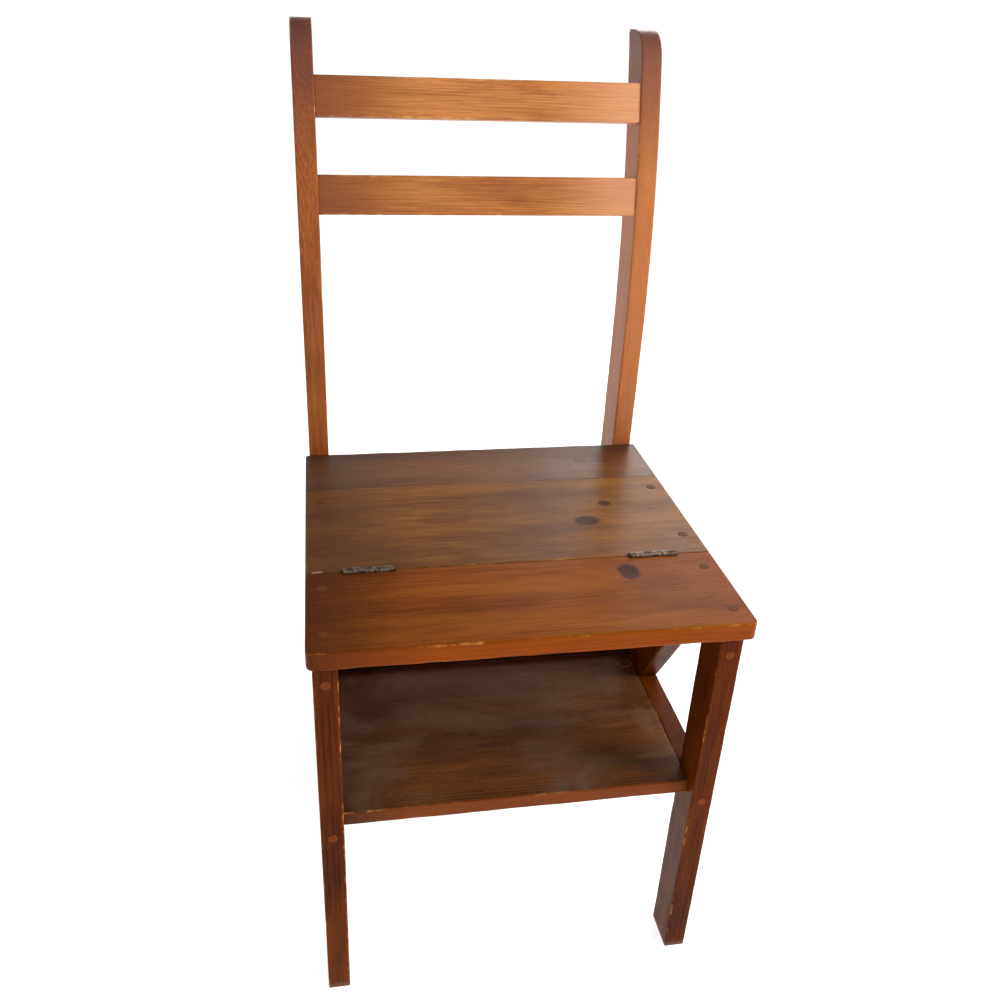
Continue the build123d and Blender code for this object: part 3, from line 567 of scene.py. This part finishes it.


# A knot is x, y and its half width and depth. A fade is an axis, where it starts and where it is full,
# a tint and how much of it. A mark is an ellipse as a knot is, then a tint and how much of it.
# Colours come in the order light wood, late wood, cloud of stain, bare wood on an arris.
# Painted shade: the seat boards grow darker towards the left, the side away from the light that falls from
# the right.
LEFT_PAINTED_SHADE = ("X", -70, -200)
FRONT_EDGE = ("Y", back(1.6), back(0.4))
SHELF_EDGE = ("Y", back(30), back(28.4))
wood = {
    "seat_front": timber(
        "seat_front_pine", (0.325, 0.088, 0.009), (0.150, 0.030, 0.003),
        (0.085, 0.018, 0.003), (0.58, 0.23, 0.04),
        spacing=3.3, cloud=0.46, lines=0.50, wear=0.50, amber=(0.38, 0.118, 0.010), gloss=0.04,
        knots=((105.5, back(92.9), 10.5, 13.5),),
        fades=((*FRONT_EDGE, (0.240, 0.036, 0.0002), 0.62),
               # painted shade towards the left end
               (*LEFT_PAINTED_SHADE, (0.048, 0.011, 0.003), 0.74),
               ("X", 150, 215, (0.22, 0.045, 0.004), 0.40))),
    "seat_middle": timber(
        "seat_middle_pine", (0.330, 0.125, 0.023), (0.130, 0.038, 0.008),
        (0.062, 0.018, 0.007), (0.52, 0.26, 0.09),
        spacing=3.0, cloud=0.62, lines=0.46, amber=(0.37, 0.155, 0.024), gloss=0.08,
        knots=((90.6, back(191.8), 14.0, 9.0), (118.6, back(226.8), 6.5, 5.5)),
        marks=((-186.0, HINGE_Y + 1.3, 5.0, 1.7, (0.36, 0.27, 0.17), 0.75),
               (-60.0, back(210.0), 30.0, 14.0, (0.070, 0.022, 0.008), 0.24)),
        # painted shade towards the left end
        fades=((*LEFT_PAINTED_SHADE, (0.075, 0.026, 0.010), 0.62),)),
    "seat_rear": timber(
        "seat_rear_pine", (0.255, 0.090, 0.021), (0.100, 0.031, 0.008),
        (0.052, 0.017, 0.009), (0.45, 0.22, 0.08),
        spacing=2.8, cloud=0.60, lines=0.44, gloss=0.14,
        knots=((119.0, back(330.6), 8.5, 6.0),),
        # painted shade towards the left end, then darker towards the back edge
        fades=((*LEFT_PAINTED_SHADE, (0.055, 0.026, 0.018), 0.66),
               ("Y", SEAT_BACK_Y - 45, SEAT_BACK_Y, (0.055, 0.024, 0.016), 0.50))),
    # The slats' light base colours are partly their own lighter finish and partly painted light, the flare of
    # the bright light behind the chair.
    "slat": timber(
        "slat_pine_and_painted_light", (0.590, 0.225, 0.066), (0.285, 0.082, 0.020),
        (0.215, 0.058, 0.022), (0.72, 0.38, 0.13),
        spacing=3.0, cloud=0.58, lines=0.34, amber=(0.58, 0.25, 0.052), wander=16.0, gloss=0.10,
        # Painted shade towards the left end and a painted highlight towards the right end, where the light
        # falls from the right.
        fades=(("X", -40, -178, (0.165, 0.045, 0.018), 0.80),
               ("X", 60, 172, (0.78, 0.38, 0.22), 0.50))),
    "frame": timber(
        "frame_pine", (0.132, 0.024, 0.001), (0.046, 0.007, 0.0005),
        (0.016, 0.003, 0.0005), (0.55, 0.20, 0.03),
        spacing=3.0, cloud=0.74, wear=0.46, lines=0.36, gloss=0.03, amber=(0.18, 0.043, 0.002),
        fades=(("Z", 10, 0, (0.20, 0.14, 0.10), 0.50),)),
    # The posts' base colours, lighter than the frame wood, are partly painted light: the flare of the bright
    # light behind the chair.
    "post": timber(
        "post_pine_and_painted_light", (0.400, 0.115, 0.028), (0.170, 0.040, 0.010),
        (0.105, 0.028, 0.010), (0.66, 0.33, 0.11),
        spacing=3.0, cloud=0.52, wear=0.5, lines=0.28, gloss=0.08, amber=(0.42, 0.135, 0.028),
        # Painted light: the right post lighter, lit from the right. Painted sheen: a greyish haze over the
        # post tops. Below the seat the painted flare fades out to the frame's darker tone.
        fades=(("X", 120, 180, (0.70, 0.260, 0.095), 0.34),
               ("Z", 740, 905, (0.110, 0.045, 0.040), 0.80),
               ("Z", 500, 330, (0.150, 0.032, 0.004), 0.72))),
    "shelf": timber(
        "shelf_pine", (0.205, 0.066, 0.011), (0.080, 0.022, 0.004),
        (0.040, 0.012, 0.004), (0.42, 0.18, 0.05),
        spacing=3.4, cloud=0.66, lines=0.46, roughness=0.5, gloss=0.06, dust=0.42, top=SHELF_TOP,
        marks=((160.0, back(214.0), 10.0, 6.0, (0.34, 0.24, 0.15), 0.75),
               (160.5, back(214.5), 7.0, 3.6, (0.035, 0.014, 0.006), 0.90),
               (146.0, back(66.0), 20.0, 5.0, (0.36, 0.26, 0.17), 0.20),
               (152.0, back(120.0), 11.0, 26.0, (0.28, 0.20, 0.14), 0.16),
               (-34.0, back(120.0), 7.0, 5.0, (0.040, 0.014, 0.005), 0.50)),
        fades=((*SHELF_EDGE, (0.20, 0.040, 0.004), 0.6),
               # painted shade towards the left end, away from the light from the right
               ("X", -90, -175, (0.045, 0.011, 0.004), 0.62))),
    "tread": timber(
        "tread_pine", (0.200, 0.075, 0.016), (0.080, 0.026, 0.007),
        (0.040, 0.014, 0.007), (0.42, 0.18, 0.05),
        spacing=3.4, cloud=0.55, lines=0.34, roughness=0.5, gloss=0.10),
}


# ---------------------------------------------------------------- pieces


def finish(piece, node, body, slot, material):
    """Gives a piece its material and its body, and hides the frame node it stands for; slot is not used."""
    piece.data.materials.append(material)
    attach(piece, body)
    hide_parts(node)


def seat_board(name, node, body, material, seed, corner_radius=0.0, corners="front", hinge_side=None):
    """A seat board: across the chair, its plan corners rounded, and let out along the hinge line for
    the two barrels. Within the corner radius of an end the edge draws back by the circle's sagitta."""
    low, high = span(node)
    half = high[0]

    def drawn_back(t):
        past = np.clip(np.abs(t) - (half - corner_radius), 0, corner_radius)
        return corner_radius - np.sqrt(np.maximum(corner_radius**2 - past**2, 0))

    front = (lambda t: low[1] + drawn_back(t)) if corners == "front" else level(low[1])
    rear = (lambda t: high[1] - drawn_back(t)) if corners == "rear" else level(high[1])
    turns = half - corner_radius * (1 - np.sin(np.radians(np.linspace(0, 80, 9))))
    extra = np.concatenate([turns, -turns])
    if hinge_side is not None:
        barrel = []
        for side in SIDES:
            pin_low, pin_high = span(f"hinge_pin_{side}")
            barrel.append((pin_low[0] - BARREL_CLEARANCE, pin_high[0] + BARREL_CLEARANCE))
        groove_z = HINGE_Z - BARREL_GROOVE - SEAT_MIDDLE_Z
        deep = BARREL_GROOVE - PARTING_GAP / 2
        for left, right in barrel:
            extra = np.concatenate([extra, [left - 0.02, left, right, right + 0.02]])
    # corner order: high a and high b, low a and high b, low a and low b, high a and low b
    scales = {"front": (0.35, 1.2, 1.2, 0.3), None: (0.10, 0.35, 0.3, 0.1), "rear": (1.1, 0.10, 0.1, 1.0)}

    def shape(t, a, b, half_a):
        if hinge_side is None:
            return a, b
        let_in = np.zeros_like(t, bool)
        for left, right in barrel:
            let_in |= (t >= left - 0.001) & (t <= right + 0.001)
        upper = b >= groove_z - 1e-6
        edge_a = half_a - deep
        moved = np.minimum(a, edge_a) if hinge_side > 0 else np.maximum(a, -edge_a)
        twin_low = first_twin(b, groove_z, hinge_side)
        return np.where(let_in & upper & ~twin_low, moved, a), b

    def first_twin(b, height, sign):
        """Of the two points at the groove's floor on the hinge side, the one that stays out."""
        near = np.isclose(b, height, atol=1e-6)
        first = near & ~np.roll(near, 1, axis=1)
        last = near & ~np.roll(near, -1, axis=1)
        return first if sign > 0 else last

    piece = bar(name, (-half, half), front, rear, SEAT_TOP - SEAT_UNDERSIDE, across(SEAT_MIDDLE_Z), seed,
                arris=1.8, end_arris=1.8, step=7.0, extra=extra, corner_scale=scales[corners], middles=(5, 0),
                split=groove_z if hinge_side is not None else None, shape=shape, nicks=5)
    finish(piece, node, body, "seat_wood", material)


seat_board("front_seat_plank", "seat_front_board", "front_half", wood["seat_front"], 11, 7.0, "front", 1)
seat_board("middle_seat_plank", "seat_middle_board", "back_half", wood["seat_middle"], 12, 0.0, None, -1)
seat_board("rear_seat_plank", "seat_rear_board", "back_half", wood["seat_rear"], 13, 3.0, "rear")


def cross_board(name, node, body, slot, material, seed, slanting):
    """A board between the side frames. One edge, 1 for the back and -1 for the front, leans along the
    parting: the further a point is towards it, the more it moves by the parting's run times its b."""
    low, high = span(node)
    middle_z, half_b = (low[2] + high[2]) / 2, (high[2] - low[2]) / 2
    lost = half_b * PARTING_RUN
    front = low[1] + (lost if slanting < 0 else 0)
    rear = high[1] - (lost if slanting > 0 else 0)

    def shape(t, a, b, half_a):
        share = np.clip(slanting * a / half_a, 0, 1)
        return a - PARTING_RUN * b * share, b

    scale = (0.25, 1, 1, 0.25) if slanting > 0 else (1, 0.25, 0.25, 1)
    piece = bar(name, (low[0], high[0]), level(front), level(rear), 2 * half_b, across(middle_z), seed,
                arris=1.9, end_arris=0.3, step=7.0, middles=(5, 0), nicks=6, corner_scale=scale, shape=shape)
    finish(piece, node, body, slot, material)


cross_board("low_shelf", "shelf_board", "front_half", "step_wood", wood["shelf"], 21, 1)
cross_board("third_tread", "third_step_board", "back_half", "step_wood", wood["tread"], 22, -1)
cross_board("top_tread", "top_step_board", "back_half", "step_wood", wood["tread"], 23, -1)


def slat(name, node, seed):
    """A back slat: t along X, a up the lean of the posts and b through it."""
    low, high = span(node)
    lean = math.radians(SLAT_LEANS[node])
    middle = (low + high) / 2

    def place(t, a, b):
        y = middle[1] + a * math.sin(lean) + b * math.cos(lean)
        z = middle[2] + a * math.cos(lean) - b * math.sin(lean)
        return np.stack([t, y, z], -1)

    piece = bar(name, (low[0], high[0]), level(-SLAT_HEIGHT / 2), level(SLAT_HEIGHT / 2), SLAT_THICKNESS,
                place, seed, arris=1.8, end_arris=0.3, step=7.0, middles=(3, 1), nicks=4)
    finish(piece, node, "back_half", "slat_wood", wood["slat"])


slat("upper_slat", "upper_back_slat", 31)
slat("lower_slat", "lower_back_slat", 32)

for number, (side, sign) in enumerate(SIDES.items()):
    low, high = span(f"front_leg_{side}")
    middle_x = (low[0] + high[0]) / 2
    wide = high[0] - low[0]
    leg = bar(f"leg_{side}", (low[2], high[2]), level(low[1]), level(high[1]), wide, upright(middle_x),
              41 + number, arris=1.5, end_arris=1.0, step=5.0, nicks=7)
    finish(leg, f"front_leg_{side}", "front_half", "frame_wood", wood["frame"])

    top_turns = POST_TOP - POST_TOP_RADIUS * (1 - np.sin(np.radians(np.linspace(10, 86, 16))))
    post = bar(f"post_{side}", (0.0, POST_TOP), post_low, post_high, wide, upright(middle_x), 51 + number,
               arris=1.5, end_arris=0.9, step=7.0, extra=top_turns, nicks=8)
    finish(post, f"back_post_{side}", "back_half", "frame_wood", wood["post"])

    stringer = bar(f"front_brace_{side}", (0.0, SEAT_UNDERSIDE), front_stringer_front, front_stringer_back,
                   wide, upright(middle_x), 61 + number, step=6.0, nicks=4, turn=-SLANT)
    finish(stringer, f"front_stringer_{side}", "front_half", "frame_wood", wood["frame"])

    stringer = bar(f"back_brace_{side}", (0.0, SEAT_UNDERSIDE), back_stringer_front, back_brace_back,
                   wide, upright(middle_x), 63 + number, step=6.0, nicks=4, turn=-SLANT)
    finish(stringer, f"back_stringer_{side}", "back_half", "frame_wood", wood["frame"])

    leg_back = level(high[1])
    rails = (
        ("shelf_bearer", "shelf_rail", "front_half", leg_back, front_stringer_front),
        ("front_bearer", "front_seat_rail", "front_half", leg_back, front_stringer_front),
        ("back_bearer", "back_seat_rail", "back_half", back_stringer_back, post_front),
        ("step_bearer", "step_rail", "back_half", back_stringer_back, post_front),
    )
    for order, (name, node, body, start_line, end_line) in enumerate(rails):
        rail_low, rail_high = span(f"{node}_{side}")
        ends = (rail_low[1], rail_high[1])
        rail = bar(f"{name}_{side}", ends, level(rail_low[2]), level(rail_high[2]), wide,
                   lengthwise(middle_x, ends, start_line, end_line), 71 + 2 * order + number,
                   end_arris=0.25, step=6.0, nicks=2)
        finish(rail, f"{node}_{side}", body, "frame_wood", wood["frame"])


# ---------------------------------------------------------------- plugs over the screws


# A plug's rings from its crown over its rim and down into the wood: radius and height above the face
# in millimetres, and how dirty the ring is.
PLUG_RADIUS = np.array([0.0, 0.0, 1.6, 3.2, 4.2, 4.65, 4.9, 5.0, 5.0, 2.5, 0.0])
PLUG_HEIGHT = np.array([0.16, 0.16, 0.16, 0.15, 0.13, 0.10, 0.02, -0.15, -0.9, -0.9, -0.9])
PLUG_DIRT = np.array([0, 0, 0, 0, 0.3, 0.9, 1, 1, 1, 0, 0.0])
PLUG_REACH = 14.0              # mm, within which two points belong to one plug
PLUG_TILT = 0.02


def discs(name, node, body, axis_of, material):
    """Plugs of one group. Each is a low dome on a short wall: circles round its axis, their radius
    and height from the rings above, a little tilted at random."""
    points = np.array([v.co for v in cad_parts[node].data.vertices], float) * 1000.0
    shells = []
    while len(points):
        near = np.linalg.norm(points - points[0], axis=1) < PLUG_REACH
        shells.append(points[near])
        points = points[~near]
    rng = np.random.default_rng(len(shells) + len(name))
    angle = np.linspace(0, 2 * math.pi, 24, endpoint=False)
    dirt = np.repeat(PLUG_DIRT[:, None], len(angle), 1)
    work = bmesh.new()
    for number, shell in enumerate(shells):
        middle = (shell.min(0) + shell.max(0)) / 2
        axis = np.array(axis_of(middle), float)
        axis /= np.linalg.norm(axis)
        face = ((shell - middle) @ axis).max()
        helper = np.array([1.0, 0, 0]) if abs(axis[0]) < 0.7 else np.array([0, 1.0, 0])
        u = np.cross(axis, helper)
        u /= np.linalg.norm(u)
        v = np.cross(axis, u)
        tilt = rng.uniform(-PLUG_TILT, PLUG_TILT, 2)
        circle = np.cos(angle)[:, None] * u + np.sin(angle)[:, None] * v
        lift = (np.cos(angle) * tilt[0] + np.sin(angle) * tilt[1])[None, :] * PLUG_RADIUS[:, None]
        xyz = middle + PLUG_RADIUS[:, None, None] * circle[None]
        xyz = xyz + (face + PLUG_HEIGHT[:, None] + lift)[..., None] * axis
        single = skin(f"{name}_{number}", xyz, dirt, xyz)
        mesh = single.data
        work.from_mesh(mesh)
        bpy.data.objects.remove(single)
        bpy.data.meshes.remove(mesh)
    joined = bpy.data.meshes.new(name)
    work.to_mesh(joined)
    work.free()
    joined.shade_smooth()
    made = bpy.data.objects.new(name, joined)
    bpy.context.scene.collection.objects.link(made)
    finish(made, node, body, "plug_wood", material)


dark_plug = plug_wood("dark_plug", (0.190, 0.060, 0.011), (0.095, 0.027, 0.006), (0.055, 0.015, 0.004))
light_plug = plug_wood("light_plug", (0.215, 0.048, 0.004), (0.110, 0.021, 0.002), (0.040, 0.008, 0.002))
slant_normal = np.array([0, math.cos(SLANT), math.sin(SLANT)])
discs("front_plug_caps", "front_seat_plugs", "front_half", lambda p: (0, 0, 1), dark_plug)
discs("seat_plug_caps", "back_seat_plugs", "back_half", lambda p: (0, 0, 1), dark_plug)
discs("leg_plug_caps", "leg_plugs", "front_half", lambda p: (0, -1, 0), light_plug)
discs("brace_plug_caps", "front_stringer_plugs", "front_half", lambda p: slant_normal, light_plug)
discs("back_brace_plug_caps", "back_stringer_plugs", "back_half", lambda p: -slant_normal, light_plug)
discs("post_plug_caps", "post_plugs", "back_half", lambda p: (0, 1, 0), light_plug)
discs("shelf_plug_caps", "shelf_plugs", "front_half", lambda p: (p[0], 0, 0), light_plug)
discs("step_plug_caps", "step_plugs", "back_half", lambda p: (p[0], 0, 0), light_plug)

# ---------------------------------------------------------------- what stays from the frame

hinge_metal = metal("hinge_steel_dull", (0.30, 0.215, 0.145), (0.050, 0.029, 0.017), 0.34)
screw_metal = metal("screw_steel_dull", (0.34, 0.31, 0.27), (0.10, 0.085, 0.07), 0.34)
dowel_beech = plain_wood("dowel_beech", (0.62, 0.44, 0.26), (0.45, 0.29, 0.15))
for node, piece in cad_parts.items():
    if piece.hide_render:
        continue
    keeper = dowel_beech if "dowels" in node else screw_metal if "screws" in node else hinge_metal
    piece.data.materials.clear()
    piece.data.materials.append(keeper)

# ---------------------------------------------------------------- floor, light and camera


FLOOR_HALF = 60                # m
FLOOR_GLOW = 0.80


def floor_plane():
    """A wide white floor that glows a little, so that it has no horizon."""
    mesh = bpy.data.meshes.new("studio_floor")
    corners = [(x * FLOOR_HALF, y * FLOOR_HALF, 0) for x, y in ((-1, -1), (1, -1), (1, 1), (-1, 1))]
    mesh.from_pydata(corners, [], [(0, 1, 2, 3)])
    plane = bpy.data.objects.new("studio_floor", mesh)
    bpy.context.scene.collection.objects.link(plane)
    m = Tree("studio_floor_pale")
    mottle = m.noise(m.place(), (3.0, 3.0, 3.0))
    m.put(m.shader.inputs["Base Color"], m.mix(mottle, (0.78, 0.78, 0.78), (0.82, 0.82, 0.82)))
    m.shader.inputs["Roughness"].default_value = 0.9
    m.shader.inputs["Specular IOR Level"].default_value = 0.0
    m.shader.inputs["Emission Color"].default_value = (1.0, 1.0, 1.0, 1.0)
    m.shader.inputs["Emission Strength"].default_value = FLOOR_GLOW
    mesh.materials.append(m.material)


floor_plane()
LIGHT_AIM = (0, 0, 0.5)


def softbox(name, place, size, power):
    """A rectangular lamp that faces the middle of the chair."""
    data = bpy.data.lights.new(name, "AREA")
    data.shape = "RECTANGLE"
    data.size, data.size_y = size
    data.energy = power
    lamp = bpy.data.objects.new(name, data)
    aim = (Vector(LIGHT_AIM) - Vector(place)).to_track_quat("-Z", "Y")
    lamp.matrix_world = Matrix.Translation(place) @ aim.to_matrix().to_4x4()
    bpy.context.scene.collection.objects.link(lamp)


softbox("key_softbox", (1.9, -1.1, 1.9), (1.2, 1.2), 54)
softbox("back_softbox", (1.5, 2.2, 1.9), (1.8, 1.2), 34)

# The surroundings are bright near the horizon and dimmer higher up.
world = bpy.data.worlds.new("studio_world")
world.use_nodes = True
sky = world.node_tree
direction = sky.nodes.new("ShaderNodeSeparateXYZ")
sky.links.new(sky.nodes.new("ShaderNodeTexCoord").outputs["Generated"], direction.inputs[0])
brightness = sky.nodes.new("ShaderNodeMapRange")
for socket, value in (("From Min", 0.12), ("From Max", 0.45), ("To Min", 1.05), ("To Max", 0.30)):
    brightness.inputs[socket].default_value = value
sky.links.new(direction.outputs[2], brightness.inputs["Value"])
sky.links.new(brightness.outputs[0], sky.nodes["Background"].inputs[1])
sky.nodes["Background"].inputs[0].default_value = (1.0, 1.0, 1.0, 1.0)
bpy.context.scene.world = world
bpy.context.scene.view_settings.view_transform = "Standard"

CAMERA_PLACE = Vector((-172.335, -631.935 + SEAT_FRONT_Y, 926.825)) * MM
YAW, PITCH, ROLL = 0.18132, -0.47197, 0.04263
IMAGE = 1000                   # width and height of the image, in the unit of the next two
FOCAL = 950.03
CENTRE = (482.677, 473.934)
SENSOR = 36.0
ahead = Vector((math.sin(YAW) * math.cos(PITCH), math.cos(YAW) * math.cos(PITCH), math.sin(PITCH)))
right = ahead.cross(Vector((0, 0, 1))).normalized()
up = right.cross(ahead)
turned_right = math.cos(ROLL) * right + math.sin(ROLL) * up
turned_up = -math.sin(ROLL) * right + math.cos(ROLL) * up
lens = bpy.data.cameras.new("studio_camera")
lens.sensor_width = SENSOR
lens.lens = FOCAL / IMAGE * SENSOR
lens.shift_x = (IMAGE / 2 - CENTRE[0]) / IMAGE
lens.shift_y = (CENTRE[1] - IMAGE / 2) / IMAGE
camera = bpy.data.objects.new("studio_camera", lens)
facing = Matrix((turned_right, turned_up, -ahead)).transposed().to_4x4()
camera.matrix_world = Matrix.Translation(CAMERA_PLACE) @ facing
bpy.context.scene.collection.objects.link(camera)
bpy.context.scene.camera = camera
